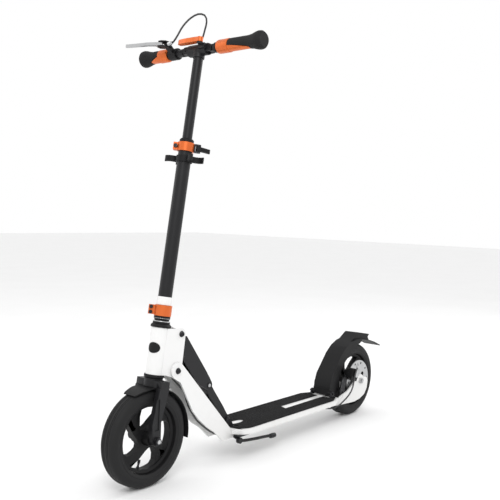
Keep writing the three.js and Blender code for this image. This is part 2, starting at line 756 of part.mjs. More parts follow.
function makeRearFender() {
  const skin = [
    [deckRear + 20, deckTop + 5], ...atWheel([[149, 123], [138, 150], [112, 180], [88, 208], [60, 229],
      [32, 241], [0, 246.5], [-32, 245], [-72, 237], [-110, 225.5]]), [-tailReach, 211 * tyreR / 115],
  ];
  const under = skin.map(([x, z], i) => {
    const p = skin[Math.max(i - 1, 0)];
    const q = skin[Math.min(i + 1, skin.length - 1)];
    const len = Math.hypot(q[0] - p[0], q[1] - p[1]);
    return [x + 3 * (q[1] - p[1]) / len, z - 3 * (q[0] - p[0]) / len];
  }).map(([x, z], i) => [2 * skin[i][0] - x, 2 * skin[i][1] - z]).reverse();
  const sheet = slabY([...skin, ...under], -30, 30);
  const skirts = [-1, 1].map((side) => {
    const [a, b] = [side * 27.4, side * 30].sort((p, q) => p - q);
    return slabY([...skin.slice(0, 9), ...atWheel([[-26, 236], [6, 222], [40, 205], [72, 178], [96, 146],
      [110, 120], [118, 98]]), [deckRear - 2, deckTop + 5]], a, b);
  });
  const pad = slabY(atWheel([[34, 240], [-12, 266], [-84, 254], [-74, 246], [-82, 234], [-40, 242], [0, 245]]),
    -24, 24);
  const eyes = [-1, 1].map((side) => {
    const [a, b] = [side * 24, side * 33].sort((p, q) => p - q);
    return alongY(rod(7, a, b, 16), brakePivotX, 0, brakePivotZ);
  });
  const bar = box(brakePivotX - 6, brakePivotX + 4, -30, 30, brakePivotZ - 6, brakePivotZ + 14);
  const bore = alongY(rod(3.4, -50, 50, 14), brakePivotX, 0, brakePivotZ);
  return cut(join(sheet, ...skirts, pad, ...eyes, bar), bore);
}

function makeBrakePin() {
  const pin = alongY(rod(3, -44, 44, 14), brakePivotX, 0, brakePivotZ);
  const posts = [-1, 1].map((side) => {
    const [a, b] = [side * 34, side * 39].sort((p, q) => p - q);
    return slabY([[brakePivotX - 9, deckTop + gap], [brakePivotX + 9, deckTop + gap],
      ...arc(brakePivotX, brakePivotZ, 7, 0, 180, 8)], a, b);
  });
  return join(pin, ...posts);
}

// ================= handlebar =================

function onBar(geometry) {
  return onColumn(geometry.translate(0, 0, barHeight));
}

function makeUpperTube() {
  return onColumn(tube(tubeBore, tubeR, tubeLow, barHeight - 9, 22));
}

function makeTee() {
  const socket = rod(14.8, -20, 0, 22);
  const cross = alongY(rod(teeR, -30, 30, 24));
  const ears = [];
  for (const side of [-1, 1]) {
    for (const hand of [-1, 1]) {
      const [a, b] = [hand * 6, hand * 10.5].sort((p, q) => p - q);
      const y0 = side * 26;
      const y1 = side * armPivotY;
      const plate = slabX([[y0, -9], ...arc(y1, 0, 9, side > 0 ? -90 : 270, side > 0 ? 90 : 90, 10), [y0, 9]], a, b);
      ears.push(plate);
    }
  }
  const pins = [-1, 1].map((side) => alongX(rod(3, -11.5, 11.5, 14), 0, side * armPivotY, 0));
  const block = box(10, 21, 14, 34, -4, 8.6);
  const post = rod(2.6, 7, 21, 12).translate(26, 24.5, 0);
  const shelf = box(12, 31, 19, 30, 4, 8.6);
  const cable = rod(4, -30, 30, 14);
  const bore = rod(tubeR + gap, -40, -8.6, 22);
  return onBar(cut(join(socket, cross, ...ears, ...pins, block, shelf, post), bore, cable));
}

function makeArm(side, clampRoom) {
  const tongue = slabX([...arc(armPivotY, 0, 8.5, 90, 270, 10), [armPivotY + 14, -8.5], [armPivotY + 14, 8.5]],
    -5.7, 5.7);
  const shaft = alongY(rod(armR, armPivotY + 11, barHalf - 6, 20));
  const from = armPivotY + teeR + 0.8;
  const shoulder = alongY(turned([[0, from], [12.5, from], [12.5, from + 6], [0, from + 6]], 20));
  const bore = alongX(rod(3.3, -20, 20, 14), 0, armPivotY, 0);
  const body = cut(join(tongue, shaft, ...(clampRoom ? [] : [shoulder])), bore);
  return onBar(side > 0 ? body : mirrorY(body));
}

// Orange core of a grip, seen at its inner end and along the underside.
function makeGripCore(side, from, collarEnd) {
  const inner = armR + gap;
  const profile = [
    [inner, from], [gripCollarR - 3.5, from], [gripCollarR - 0.8, from + 2.5], [gripCollarR, from + 6],
    [gripCollarR, collarEnd - 2], [13, collarEnd], [13, barHalf - 26], [inner, barHalf - 26], [inner, from],
  ];
  const body = alongY(turned(profile, 22));
  const under = common(alongY(tube(12, 15.3, collarEnd - 1, barHalf - 40, 22)),
    slabX([[collarEnd - 4, -4], [collarEnd - 4, -20], [barHalf - 60, -20], [barHalf - 40, -14]], -14, 14));
  const whole = join(body, under);
  return onBar(side > 0 ? whole : mirrorY(whole));
}

// Rubber pad with the wide mushroom end.
function makeGripPad(side, collarEnd) {
  const outer = [
    [gripPadR, collarEnd + gap], [gripPadR + 0.4, collarEnd + 12], [gripPadR, collarEnd + 22],
    [gripPadR - 0.2, barHalf - 42], [gripPadR + 1.4, barHalf - 30], [gripEndR - 1.6, barHalf - 20],
    [gripEndR, barHalf - 11], [gripEndR - 0.8, barHalf - 5], [gripEndR - 5, barHalf], [0, barHalf],
  ];
  const profile = [
    ...outer, [0, barHalf - 6 + gap], [armR + gap, barHalf - 6 + gap], [armR + gap, barHalf - 26 + gap],
    [13 + gap, barHalf - 26 + gap], [13 + gap, collarEnd + gap], [gripPadR, collarEnd + gap],
  ];
  const body = alongY(turned(profile, 22));
  const under = common(alongY(tube(11.7, 24, collarEnd - 2, barHalf - 38, 24)),
    slabX([[collarEnd - 5, -3.2], [collarEnd - 5, -24], [barHalf - 38, -24], [barHalf - 38, -12.6]], -14.5, 14.5));
  const whole = cut(body, under);
  return onBar(side > 0 ? whole : mirrorY(whole));
}

const leverX = 38;
const leverY = -100;
const leverZ = 14;

function makeLeverClamp() {
  const band = alongY(tube(armR + gap, 14.4, -98, -73, 24));
  const reach = slabY([[9, -6], [12, 9], [leverX - 6, leverZ + 7], [leverX - 3, leverZ + 3], [leverX - 3, leverZ - 3],
    [leverX - 8, leverZ - 8]], -91, -78);
  const yokes = [-1, 1].map((hand) => {
    const [a, b] = [leverZ + hand * 4.4, leverZ + hand * 7.4].sort((p, q) => p - q);
    return slabZ([[leverX - 12, -80], [leverX - 12, -98], [leverX - 7, -108], [leverX + 3, -108], [leverX + 8, -102],
      [leverX + 8, -92], [leverX + 2, -80]], a, b);
  });
  const back = box(leverX - 12, leverX - 2, -90, -78, leverZ - 7.4, leverZ + 7.4);
  const pin = rod(2.6, leverZ - 8.6, leverZ + 8.6, 12).translate(leverX, leverY, 0);
  return onBar(cut(join(band, reach, ...yokes, back, pin), alongY(rod(armR + gap, -120, -60, 24))));
}

function makeBrakeLever() {
  const outline = [
    [leverX - 6, leverY + 5], [leverX + 3, leverY + 7.5], [leverX + 7, leverY], [leverX + 12, leverY - 16],
    [leverX + 17, leverY - 34], [leverX + 20, leverY - 60], [leverX + 24, leverY - 86], [leverX + 27, leverY - 102],
    [leverX + 22, leverY - 102.6], [leverX + 17.5, leverY - 86], [leverX + 13.5, leverY - 60],
    [leverX + 9, leverY - 34], [leverX + 3, leverY - 18], [leverX - 5, leverY - 7],
  ];
  const blade = slabZ(outline, leverZ - 3.9, leverZ + 3.9);
  return onBar(cut(blade, rod(3, leverZ - 20, leverZ + 20, 12).translate(leverX, leverY, 0)));
}

function makeAdjuster() {
  const body = turned([[2.9, 0], [4.6, 0], [4.6, 4], [6, 4.6], [6, 10], [4.6, 10.6], [4.6, 13], [2.9, 13], [2.9, 0]], 14);
  return onBar(alongY(body, leverX - 4, -78 + gap, leverZ));
}

// Quick-release lever lying along the front of the tee.
function makeReleaseLever() {
  const outline = [
    ...arc(0, 0, 7, -30, 210, 10), [-7.5, -18], [-8, -34], [-7, -58], [-5, -70], [3, -72], [7, -64], [8, -40], [7, -16],
  ];
  const blade = slabZ(outline, -5.6, 5.6);
  const holes = [-20, -36].map((y) => rod(3.2, -10, 10, 12).translate(0, y, 0));
  const body = cut(blade, rod(2.9, -10, 10, 12), ...holes);
  return onBar(body.translate(26, 24.5, 14.8));
}

// ---- brake cable ----

function makeUpperCable() {
  const bar = (forward, side, up) => columnPoint(barHeight + up, forward, side);
  return cord([
    bar(leverX - 4, -77, leverZ), bar(leverX - 4, -60, leverZ + 3), bar(leverX - 6, -52, 30),
    bar(28, -40, 56), bar(20, -24, 78), bar(12, -6, 88), bar(5, 8, 84), bar(2, 13, 70), bar(0.5, 9, 48),
    bar(0, 3, 22), bar(0, 0, 12), bar(0, 0, -20), bar(0, 0, -110), bar(0, 0, -330),
  ], 2.3, 60);
}

function makeLowerCable() {
  const under = deckTop - deckPlate;
  const [bx, , bz] = caliperBoss();
  return cord([
    columnPoint(barHeight - 331), columnPoint(420), columnPoint(300), columnPoint(262), columnPoint(244, -1.5),
    columnPoint(230, -9.5, 1.5), columnPoint(216, -18, 3), columnPoint(201, -27, 4.5), columnPoint(186, -36, 6.5),
    [foldX + 14, 10, foldZ + 3], [foldX + 6, 15, foldZ - 18], [foldX - 10, 18, foldZ - 36],
    [frontX - 108, 18.5, tyreR + 94], [frontX - 121, 18.5, tyreR + 62], [frontX - 134, 18.5, tyreR + 40],
    [frontX - 158, 18, tyreR + 10], [frontX - 182, 17, tyreR - 9], [frontX - 212, 14, tyreR - 30],
    [deckFront + 10, 8, under - 16], [deckFront - 60, 2, under - 14], [deckFront - 140, 8, under - 9],
    [deckFront - 260, 14, under - 6], [deckFront - 380, 18, under - 6], [deckRear + 50, 24, under - 24],
    [deckRear + 8, 44, under - 27], [deckRear - 14, 58, under - 10], [bx + 32, 66, bz - 44],
    [bx + 14, 66.5, bz + 4], [bx + 2, 66.5, bz + 24],
  ], 2.3, 90);
}

// ================= assembly =================

add('deck', makeDeck(), white);
add('grip_mat', makeMat(), grit);
add('neck', makeNeck(), white);
add('fold_bolt', crossPin(foldX, foldZ, boltR, 8, cheekOut + gap, 4), darkSteel);
add('strut_bracket', makeStrutBracket(), charcoal);
add('strut_low_pin', crossPin(strutLowX, strutLowZ, 4, 6.5, 16 + gap, 2), darkSteel);
add('stay_left', makeStay(1), white);
add('stay_right', makeStay(-1), white);
add('rear_axle', makeAxle(0, stayOut), steel);
add('rear_nut', makeNut(0, stayOut), steel);
add('caliper_bracket', makeCaliperBracket(), darkSteel);
add('caliper', makeCaliper(), blackPlastic);
add('caliper_arm', makeCaliperArm(), steel);
add('foot_brake_pin', makeBrakePin(), darkSteel);
add('rear_fender', makeRearFender(), blackPlastic);
add('kickstand_bracket', makeStandBracket(), charcoal);
add('kickstand', makeStand(), charcoal);
add('strut_lower_link', makeLowerLink(), charcoal);
add('strut_upper_link', makeUpperLink(), charcoal);
add('head_casting', makeHeadCasting(), white);
add('head_cup_low', makeLowerCup(), blackPlastic);
add('head_cup_high', makeUpperCup(), blackPlastic);
add('strut_top_bolt', crossPin(linkTopX, linkTopZ, boltR, 8, wallOut + gap, 4), darkSteel);
add('head_badge', makeBadge(), blackPlastic);
add('headset_nut', makeHeadsetNut(), blackPlastic);
add('fork', makeFork(), charcoal);
add('front_fender', makeFrontFender(), blackPlastic);
add('front_axle', makeAxle(frontX, forkOut), steel);
add('front_nut', makeNut(frontX, forkOut), darkSteel);
add('stem_clamp', boredClamp(clampLow, clampTall, lowerEarReach, lowerClampAngle,
  [clampLow + 6.5, clampLow + 19], 2.8), orange);
add('stem_clamp_bolt_low', earBolt(clampLow + 6.5, lowerEarReach - 6, lowerClampAngle, 2.5, 4.5, 10), darkSteel);
add('stem_clamp_bolt_high', earBolt(clampLow + 19, lowerEarReach - 6, lowerClampAngle, 2.5, 4.5, 10), darkSteel);
add('stem_sleeve', onColumn(tube(stemR + gap, stemR + 1.2, clampLow + clampTall + gap, clampLow + clampTall + 20, 24)),
  white);
add('stem_tube', makeStemTube(), charcoal);
add('height_clamp', boredClamp(upperClampLow, upperClampTall, upperEarReach, upperClampAngle,
  [upperClampLow + upperClampTall / 2], 2.8), orange);
add('height_clamp_bolt', earBolt(upperClampLow + upperClampTall / 2, upperEarReach - 6, upperClampAngle, 2.5, 5, 9),
  darkSteel);
add('height_lever_post', makeLeverPost(), darkSteel);
add('height_lever', makeClampLever(), blackPlastic);
add('stem_bush', makeBush(), blackPlastic);
add('grip_clips', makeGripClips(), blackPlastic);
add('front_tyre', makeTyre(frontX), rubber);
add('front_rim', makeRim(frontX, forkIn - 1, forkIn - 1, 38), blackPlastic);
add('front_valve', makeValve(frontX, -75), darkSteel);
add('rear_tyre', makeTyre(0), rubber);
add('rear_rim', makeRim(0, rotorY - 1 - gap, forkIn, 120), blackPlastic);
add('brake_rotor', makeRotor(), steel);
add('upper_tube', makeUpperTube(), charcoal);
add('bar_tee', makeTee(), charcoal);
add('bar_lever', makeReleaseLever(), orange);
add('arm_left', makeArm(1, false), charcoal);
add('grip_core_left', makeGripCore(1, 64, 102), orange);
add('grip_pad_left', makeGripPad(1, 102), rubber);
add('arm_right', makeArm(-1, true), charcoal);
add('grip_core_right', makeGripCore(-1, 104, 136), orange);
add('grip_pad_right', makeGripPad(-1, 136), rubber);
add('brake_lever_clamp', makeLeverClamp(), blackPlastic);
add('brake_lever', makeBrakeLever(), steel);
add('brake_cable_upper', makeUpperCable(), blackPlastic);
add('brake_cable_lower', makeLowerCable(), blackPlastic);

export default group;
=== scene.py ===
import bmesh
import bpy
import json
import math
from mathutils import Matrix, Vector


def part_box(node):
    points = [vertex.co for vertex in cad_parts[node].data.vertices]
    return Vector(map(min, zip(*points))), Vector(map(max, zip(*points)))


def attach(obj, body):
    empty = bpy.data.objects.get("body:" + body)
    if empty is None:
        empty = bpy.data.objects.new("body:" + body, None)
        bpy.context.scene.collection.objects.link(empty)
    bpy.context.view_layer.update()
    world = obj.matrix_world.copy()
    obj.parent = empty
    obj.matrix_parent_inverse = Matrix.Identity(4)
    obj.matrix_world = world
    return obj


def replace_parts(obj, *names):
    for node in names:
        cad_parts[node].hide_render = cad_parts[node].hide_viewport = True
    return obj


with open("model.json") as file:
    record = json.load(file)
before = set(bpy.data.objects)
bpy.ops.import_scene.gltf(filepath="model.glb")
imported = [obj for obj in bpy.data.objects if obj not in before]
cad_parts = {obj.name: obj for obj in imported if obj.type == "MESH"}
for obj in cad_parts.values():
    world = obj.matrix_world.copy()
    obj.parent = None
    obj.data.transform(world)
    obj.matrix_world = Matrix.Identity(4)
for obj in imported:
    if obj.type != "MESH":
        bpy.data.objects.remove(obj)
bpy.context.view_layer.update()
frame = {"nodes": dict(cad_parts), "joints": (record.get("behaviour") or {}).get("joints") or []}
nodes = frame["nodes"]

# ---- Camera -----------------------------------------------------------------------------
# The scooter is seen from its front left, from a little over half the bar's height, with a
# slightly long lens.
camera_data = bpy.data.cameras.new("camera")
camera = bpy.data.objects.new("camera", camera_data)
bpy.context.scene.collection.objects.link(camera)
bpy.context.scene.camera = camera
camera_data.sensor_width = 36.0
camera_data.lens = 51.92
yaw, pitch, roll = 3.8416, -0.0520, 0.0279
ahead = Vector((math.cos(yaw) * math.cos(pitch), math.sin(yaw) * math.cos(pitch), math.sin(pitch)))
level_right = Vector((math.sin(yaw), -math.cos(yaw), 0.0))
level_up = level_right.cross(ahead)
right = math.cos(roll) * level_right + math.sin(roll) * level_up
up = math.cos(roll) * level_up - math.sin(roll) * level_right
turn = Matrix((right, up, -ahead)).transposed()
camera.matrix_world = Matrix.Translation((1.57364, 1.24870, 0.64604)) @ turn.to_4x4()
camera_data.clip_start, camera_data.clip_end = 0.05, 60.0


# ---- Studio -----------------------------------------------------------------------------
# A pale floor under soft lights: one large key above the front left, a wide fill from the
# right, and one behind that draws the edges of the dark pieces.
class Socket:
    """A shader value that takes part in plain sums."""

    def __init__(self, tree, link):
        self.tree = tree
        self.link = link

    def _maths(self, operation, a, b):
        return node(self.tree, "ShaderNodeMath", {"operation": operation}, {0: a, 1: b})

    def __add__(self, other):
        return self._maths("ADD", self, other)

    __radd__ = __add__

    def __sub__(self, other):
        return self._maths("SUBTRACT", self, other)

    def __rsub__(self, other):
        return self._maths("SUBTRACT", other, self)

    def __mul__(self, other):
        return self._maths("MULTIPLY", self, other)

    __rmul__ = __mul__

    def __gt__(self, other):
        return self._maths("GREATER_THAN", self, other)

    def __lt__(self, other):
        return self._maths("LESS_THAN", self, other)


def node(tree, kind, settings=None, values=None, out=0):
    """Adds a node: its settings first, then the values or links of its sockets."""
    made = tree.nodes.new(kind)
    for name, value in (settings or {}).items():
        setattr(made, name, value)
    for name, value in (values or {}).items():
        if isinstance(value, Socket):
            tree.links.new(value.link, made.inputs[name])
        else:
            made.inputs[name].default_value = value
    return Socket(tree, made.outputs[out]) if made.outputs else None


def new_material(name, build, **constants):
    """A material from its look, which varies, and the constants of its shader."""
    material = bpy.data.materials.new(name)
    material.use_nodes = True
    tree = material.node_tree
    tree.nodes.clear()
    place = node(tree, "ShaderNodeTexCoord", out=3)
    sockets = {**constants, **build(tree, place)}
    values = {socket.replace("_", " "): value for socket, value in sockets.items()}
    shader = node(tree, "ShaderNodeBsdfPrincipled", {}, values)
    node(tree, "ShaderNodeOutputMaterial", {}, {0: shader})
    return material


def grain(tree, place, scale, detail=3.0):
    values = {"Vector": place, "Scale": scale, "Detail": detail}
    return node(tree, "ShaderNodeTexNoise", {}, values)


def blend_colour(tree, share, first, second):
    first, second = (c if isinstance(c, Socket) else (*c, 1.0) for c in (first, second))
    values = {0: share, 6: first, 7: second}
    return node(tree, "ShaderNodeMix", {"data_type": "RGBA"}, values, out=2)


def bumps(tree, height, strength, distance):
    values = {"Height": height, "Strength": strength, "Distance": distance}
    return node(tree, "ShaderNodeBump", {}, values)


def floor_look(tree, place):
    shade = grain(tree, place, 3.0)
    return {"Base_Color": blend_colour(tree, shade, (0.86, 0.86, 0.86), (0.9, 0.9, 0.9))}


ground = bmesh.new()
bmesh.ops.create_grid(ground, x_segments=1, y_segments=1, size=14.0)
ground_mesh = bpy.data.meshes.new("floor")
ground.to_mesh(ground_mesh)
ground.free()
floor = bpy.data.objects.new("floor", ground_mesh)
bpy.context.scene.collection.objects.link(floor)
ground_mesh.materials.append(new_material("pale_floor", floor_look, Roughness=0.7))

world = bpy.data.worlds.new("studio")
bpy.context.scene.world = world
world.use_nodes = True
world.node_tree.nodes["Background"].inputs[0].default_value = (1.0, 1.0, 1.0, 1.0)
world.node_tree.nodes["Background"].inputs[1].default_value = 1.0
bpy.context.scene.view_settings.view_transform = "Standard"

for name, spot, aim, size, power in (
    ("key", (2.2, 1.6, 2.6), (0.1, 0.0, 0.4), 1.2, 34.0),
    ("fill", (1.2, -2.4, 1.6), (0.1, 0.0, 0.4), 2.0, 9.0),
    ("behind", (-2.4, 0.8, 2.0), (0.0, 0.0, 0.5), 1.4, 20.0),
):
    light_data = bpy.data.lights.new(name, "AREA")
    light_data.size = size
    light_data.energy = power
    light = bpy.data.objects.new(name, light_data)
    bpy.context.scene.collection.objects.link(light)
    light.location = spot
    light.rotation_euler = (Vector(aim) - Vector(spot)).to_track_quat("-Z", "Y").to_euler()


# ---- Painted frame ----------------------------------------------------------------------
# Deck, neck, rear plates, head casting and column sleeve are aluminium under a white powder
# coat, which has a faint orange-peel skin. Low down, near the floor, shade is painted in as patchy
# grey.
def smooth_group():
    """Smooth shading, except along edges that turn by more than 32 degrees."""
    group = bpy.data.node_groups.new("soft_edges", "GeometryNodeTree")
    group.interface.new_socket("Geometry", in_out="INPUT", socket_type="NodeSocketGeometry")
    group.interface.new_socket("Geometry", in_out="OUTPUT", socket_type="NodeSocketGeometry")
    source = node(group, "NodeGroupInput")
    faces = node(group, "GeometryNodeSetShadeSmooth", {}, {"Geometry": source})
    angle = node(group, "GeometryNodeInputMeshEdgeAngle")
    sharp = node(group, "FunctionNodeCompare", {"data_type": "FLOAT", "operation": "GREATER_THAN"},
                 {0: angle, 1: math.radians(32.0)})
    edges = node(group, "GeometryNodeSetShadeSmooth", {"domain": "EDGE"},
                 {"Geometry": faces, "Selection": sharp, "Shade Smooth": False})
    node(group, "NodeGroupOutput", {}, {0: edges})
    return group


soft_edges = smooth_group()


def finish_node(name, material, edge=0.0005):
    piece = nodes[name]
    piece.data.materials.clear()
    piece.data.materials.append(material)
    weld = piece.modifiers.new("weld", "WELD")
    weld.merge_threshold = 0.00001
    smooth = piece.modifiers.new("smooth", "NODES")
    smooth.node_group = soft_edges
    if edge:
        bevel = piece.modifiers.new("edges", "BEVEL")
        bevel.width = edge
        bevel.segments = 2
        bevel.limit_method = "ANGLE"
        bevel.angle_limit = math.radians(38.0)
        bevel.harden_normals = True
    return piece


def white_look(tree, place):
    cloud = grain(tree, place, 9.0)
    peel = grain(tree, place, 900.0, 2.0)
    height = node(tree, "ShaderNodeSeparateXYZ", {}, {0: place}, out=2)
    # Painted shade: the coat turns patchy grey from 0.16 m down to 0.03 m above the floor.
    painted_low_shade = node(tree, "ShaderNodeMapRange", {}, {0: height, 1: 0.03, 2: 0.16, 3: 0.55, 4: 0.0})
    share = painted_low_shade * cloud
    return {
        # The second colour is the painted shade near the floor.
        "Base_Color": blend_colour(tree, share, (0.76, 0.76, 0.755), (0.58, 0.57, 0.55)),
        "Roughness": 0.24 + cloud * 0.12,
        "Normal": bumps(tree, peel, 0.08, 0.0002),
    }


white_coat = new_material("white_powder_coat", white_look, Coat_Weight=0.35, Coat_Roughness=0.12)
for name in ("deck", "neck", "stay_left", "stay_right", "head_casting", "stem_sleeve"):
    finish_node(name, white_coat, 0.0006)


# ---- Anti-slip sheet --------------------------------------------------------------------
# A stiff black sheet covered in mineral grit is stuck to the deck. The grit sparkles a
# little and wears paler where shoes stand.
def grit_look(tree, place):
    speck = node(tree, "ShaderNodeTexVoronoi", {}, {"Vector": place, "Scale": 1400.0})
    wear = grain(tree, place, 14.0)
    bright = speck < 0.16
    dark = blend_colour(tree, wear, (0.005, 0.005, 0.0055), (0.014, 0.014, 0.0145))
    return {
        "Base_Color": blend_colour(tree, bright * 0.2, dark, (0.12, 0.12, 0.125)),
        "Roughness": 0.95 - bright * 0.35,
        "Normal": bumps(tree, speck, 0.8, 0.0006),
    }


grit = new_material("grit_sheet", grit_look, Specular_IOR_Level=0.15)
finish_node("grip_mat", grit, 0.0002)


# ---- Black painted metal ----------------------------------------------------------------
# Fork, tubes, strut, kickstand and bar parts are aluminium under a satin black powder coat
# with a fine even grain.
def black_look(tree, place):
    cloud = grain(tree, place, 18.0)
    skin = grain(tree, place, 1300.0, 2.0)
    return {
        "Base_Color": blend_colour(tree, cloud, (0.006, 0.006, 0.007), (0.013, 0.013, 0.0145)),
        "Roughness": 0.36 + cloud * 0.16,
        "Normal": bumps(tree, skin, 0.18, 0.0002),
    }


black_coat = new_material("black_powder_coat", black_look, Specular_IOR_Level=0.28)
for name in (
    "strut_bracket", "kickstand_bracket", "kickstand", "strut_lower_link", "strut_upper_link",
    "fork", "stem_tube", "upper_tube", "bar_tee", "arm_left", "arm_right",
):
    finish_node(name, black_coat)


# ---- Moulded black parts ----------------------------------------------------------------
# Both fenders, the rims, bearing cups, bushes, clips and small covers are moulded in black
# nylon, with the fine spark texture of their tools.
def moulded_look(tree, place):
    texture = grain(tree, place, 2200.0, 2.0)
    flow = grain(tree, place, 22.0)
    return {
        "Base_Color": blend_colour(tree, flow, (0.004, 0.004, 0.0045), (0.009, 0.009, 0.0096)),
        "Roughness": 0.46 + flow * 0.2,
        "Normal": bumps(tree, texture, 0.3, 0.00025),
    }


moulded = new_material("moulded_nylon", moulded_look, Specular_IOR_Level=0.22)
for name in (
    "rear_fender", "front_fender", "front_rim", "rear_rim", "caliper", "head_cup_low",
    "head_cup_high", "headset_nut", "stem_bush", "grip_clips", "height_lever", "head_badge",
    "brake_lever_clamp",
):
    finish_node(name, moulded)


# ---- Orange anodised parts --------------------------------------------------------------
# The two column clamps, the bar lever and the grip cores are turned and milled aluminium
# with a satin orange anodised skin that shows faint tool lines.
def orange_look(tree, place):
    stretched = node(tree, "ShaderNodeMapping", {}, {0: place, 3: (1.0, 1.0, 12.0)})
    lines = grain(tree, stretched, 260.0, 2.0)
    cloud = grain(tree, place, 30.0)
    return {
        "Base_Color": blend_colour(tree, cloud, (0.56, 0.1, 0.018), (0.74, 0.17, 0.036)),
        "Roughness": 0.27 + lines * 0.16,
        "Normal": bumps(tree, lines, 0.12, 0.0001),
    }


orange = new_material("orange_anodised", orange_look, Metallic=0.55)
for name in ("stem_clamp", "height_clamp", "bar_lever", "grip_core_left", "grip_core_right"):
    finish_node(name, orange)


# ---- Bright and blackened steel ---------------------------------------------------------
# Axles, the brake disc and the brake lever are bright ground metal. Bolts and brackets are
# steel with a black oxide skin that rubs through on its high spots.
def bright_look(tree, place):
    lines = grain(tree, place, 700.0, 3.0)
    cloud = grain(tree, place, 24.0)
    return {
        "Base_Color": blend_colour(tree, cloud, (0.4, 0.405, 0.41), (0.56, 0.565, 0.57)),
        "Roughness": 0.24 + lines * 0.2,
        "Normal": bumps(tree, lines, 0.1, 0.0001),
    }


bright = new_material("bright_steel", bright_look, Metallic=1.0)
for name in ("rear_axle", "rear_nut", "caliper_arm", "front_axle", "brake_rotor", "brake_lever"):
    finish_node(name, bright, 0.0003)


def oxide_look(tree, place):
    rub = grain(tree, place, 130.0)
    worn = rub > 0.62
    return {
        "Base_Color": blend_colour(tree, worn * 0.5, (0.03, 0.03, 0.033), (0.16, 0.16, 0.165)),
        "Roughness": 0.34 + rub * 0.2,
    }


oxide = new_material("black_oxide_steel", oxide_look, Metallic=0.85)
for name in (
    "fold_bolt", "strut_low_pin", "caliper_bracket", "foot_brake_pin", "strut_top_bolt",
    "front_nut", "stem_clamp_bolt_low", "stem_clamp_bolt_high", "height_clamp_bolt",
    "height_lever_post", "front_valve",
):
    finish_node(name, oxide, 0.0003)


# ---- Grips and brake cable --------------------------------------------------------------
# Soft black rubber pads are moulded over the grip cores, with rows of fine nubs. The cable
# is a steel wire in a smooth black sleeve.
def pad_look(tree, place):
    nubs = node(tree, "ShaderNodeTexVoronoi", {}, {"Vector": place, "Scale": 420.0})
    dusty = grain(tree, place, 40.0)
    return {
        "Base_Color": blend_colour(tree, dusty, (0.006, 0.006, 0.0063), (0.015, 0.015, 0.0158)),
        "Roughness": 0.62 + dusty * 0.22,
        "Normal": bumps(tree, nubs, 0.5, 0.0006),
    }


pad_rubber = new_material("grip_rubber", pad_look, Specular_IOR_Level=0.25)
for name in ("grip_pad_left", "grip_pad_right"):
    finish_node(name, pad_rubber)


def sleeve_look(tree, place):
    wear = grain(tree, place, 60.0)
    return {
        "Base_Color": blend_colour(tree, wear, (0.012, 0.012, 0.013), (0.026, 0.026, 0.028)),
        "Roughness": 0.3 + wear * 0.14,
    }


sleeve = new_material("cable_sleeve", sleeve_look)
for name in ("brake_cable_upper", "brake_cable_lower"):
    finish_node(name, sleeve, 0.0)


# ---- Tyres ------------------------------------------------------------------------------
# Each tyre is an air-filled black rubber ring with a rounded shoulder. Shallow grooves run
# round the tread, and a raised bead line runs round each side.
def tyre_look(tree, place):
    bloom = grain(tree, place, 26.0)
    skin = grain(tree, place, 1500.0, 2.0)
    return {
        "Base_Color": blend_colour(tree, bloom, (0.006, 0.006, 0.0062), (0.014, 0.014, 0.0148)),
        "Roughness": 0.5 + bloom * 0.22,
        "Normal": bumps(tree, skin, 0.25, 0.0002),
    }


tyre_rubber = new_material("tyre_rubber", tyre_look, Specular_IOR_Level=0.25)


rim_edge = 0.0824


def tyre_outline(outer, inner, half):
    """Half of the cross-section, from the middle of the tread to the bead, as (radius, side)."""
    points = [(outer, 0.0)]
    for groove in (0.0042, 0.0085):
        points += [
            (outer - 0.0001, groove - 0.0009),
            (outer - 0.0013, groove - 0.0004),
            (outer - 0.0013, groove + 0.0004),
            (outer - 0.0002, groove + 0.0009),
        ]
    depth = outer - inner
    for step in range(1, 13):
        angle = math.radians(90.0 * step / 12.0)
        side = 0.0098 + (half - 0.0098) * math.sin(angle)
        radius = outer - depth * 0.52 * (1.0 - math.cos(angle))
        points.append((radius, side))
    points += [
        (inner + depth * 0.36, half - 0.0004),
        (inner + depth * 0.28, half - 0.0008),
        (inner + depth * 0.24, half - 0.0001),
        (inner + depth * 0.18, half - 0.0006),
        (inner + 0.0004, half - 0.0042),
    ]
    return points


def revolved(points, axis, steps, closed=True):
    """Spins an outline once round an axis through the origin."""
    shape = bmesh.new()
    corners = [shape.verts.new(point) for point in points]
    following = corners[1:] + corners[:1] if closed else corners[1:]
    edges = [shape.edges.new(pair) for pair in zip(corners, following)]
    bmesh.ops.spin(
        shape, geom=corners + edges, cent=(0.0, 0.0, 0.0), axis=axis, dvec=(0.0, 0.0, 0.0),
        angle=2.0 * math.pi, steps=steps, use_merge=True, use_duplicate=False,
    )
    return shape


def put(shape, name, material, body):
    """Closes a shape's seams, turns its faces outward and hangs it on a body."""
    bmesh.ops.remove_doubles(shape, verts=shape.verts, dist=0.000001)
    bmesh.ops.recalc_face_normals(shape, faces=shape.faces)
    for face in shape.faces:
        face.smooth = True
    mesh = bpy.data.meshes.new(name)
    shape.to_mesh(mesh)
    shape.free()
    mesh.materials.append(material)
    piece = bpy.data.objects.new(name, mesh)
    bpy.context.scene.collection.objects.link(piece)
    piece.modifiers.new("smooth", "NODES").node_group = soft_edges
    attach(piece, body)
    return piece


def make_tyre(name, stands_for, body):
    low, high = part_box(stands_for)
    middle = (low + high) / 2.0
    right_side = tyre_outline(middle.z, rim_edge, (high.y - low.y) / 2.0)
    outline = [(r, -y) for r, y in reversed(right_side[1:])] + right_side
    shape = revolved([(r, y, 0.0) for r, y in outline], (0.0, 1.0, 0.0), 160)
    bmesh.ops.translate(shape, verts=shape.verts, vec=middle)
    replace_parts(put(shape, name, tyre_rubber, body), stands_for)


make_tyre("front_tyre_rubber", "front_tyre", "front_wheel")
make_tyre("rear_tyre_rubber", "rear_tyre", "rear_wheel")


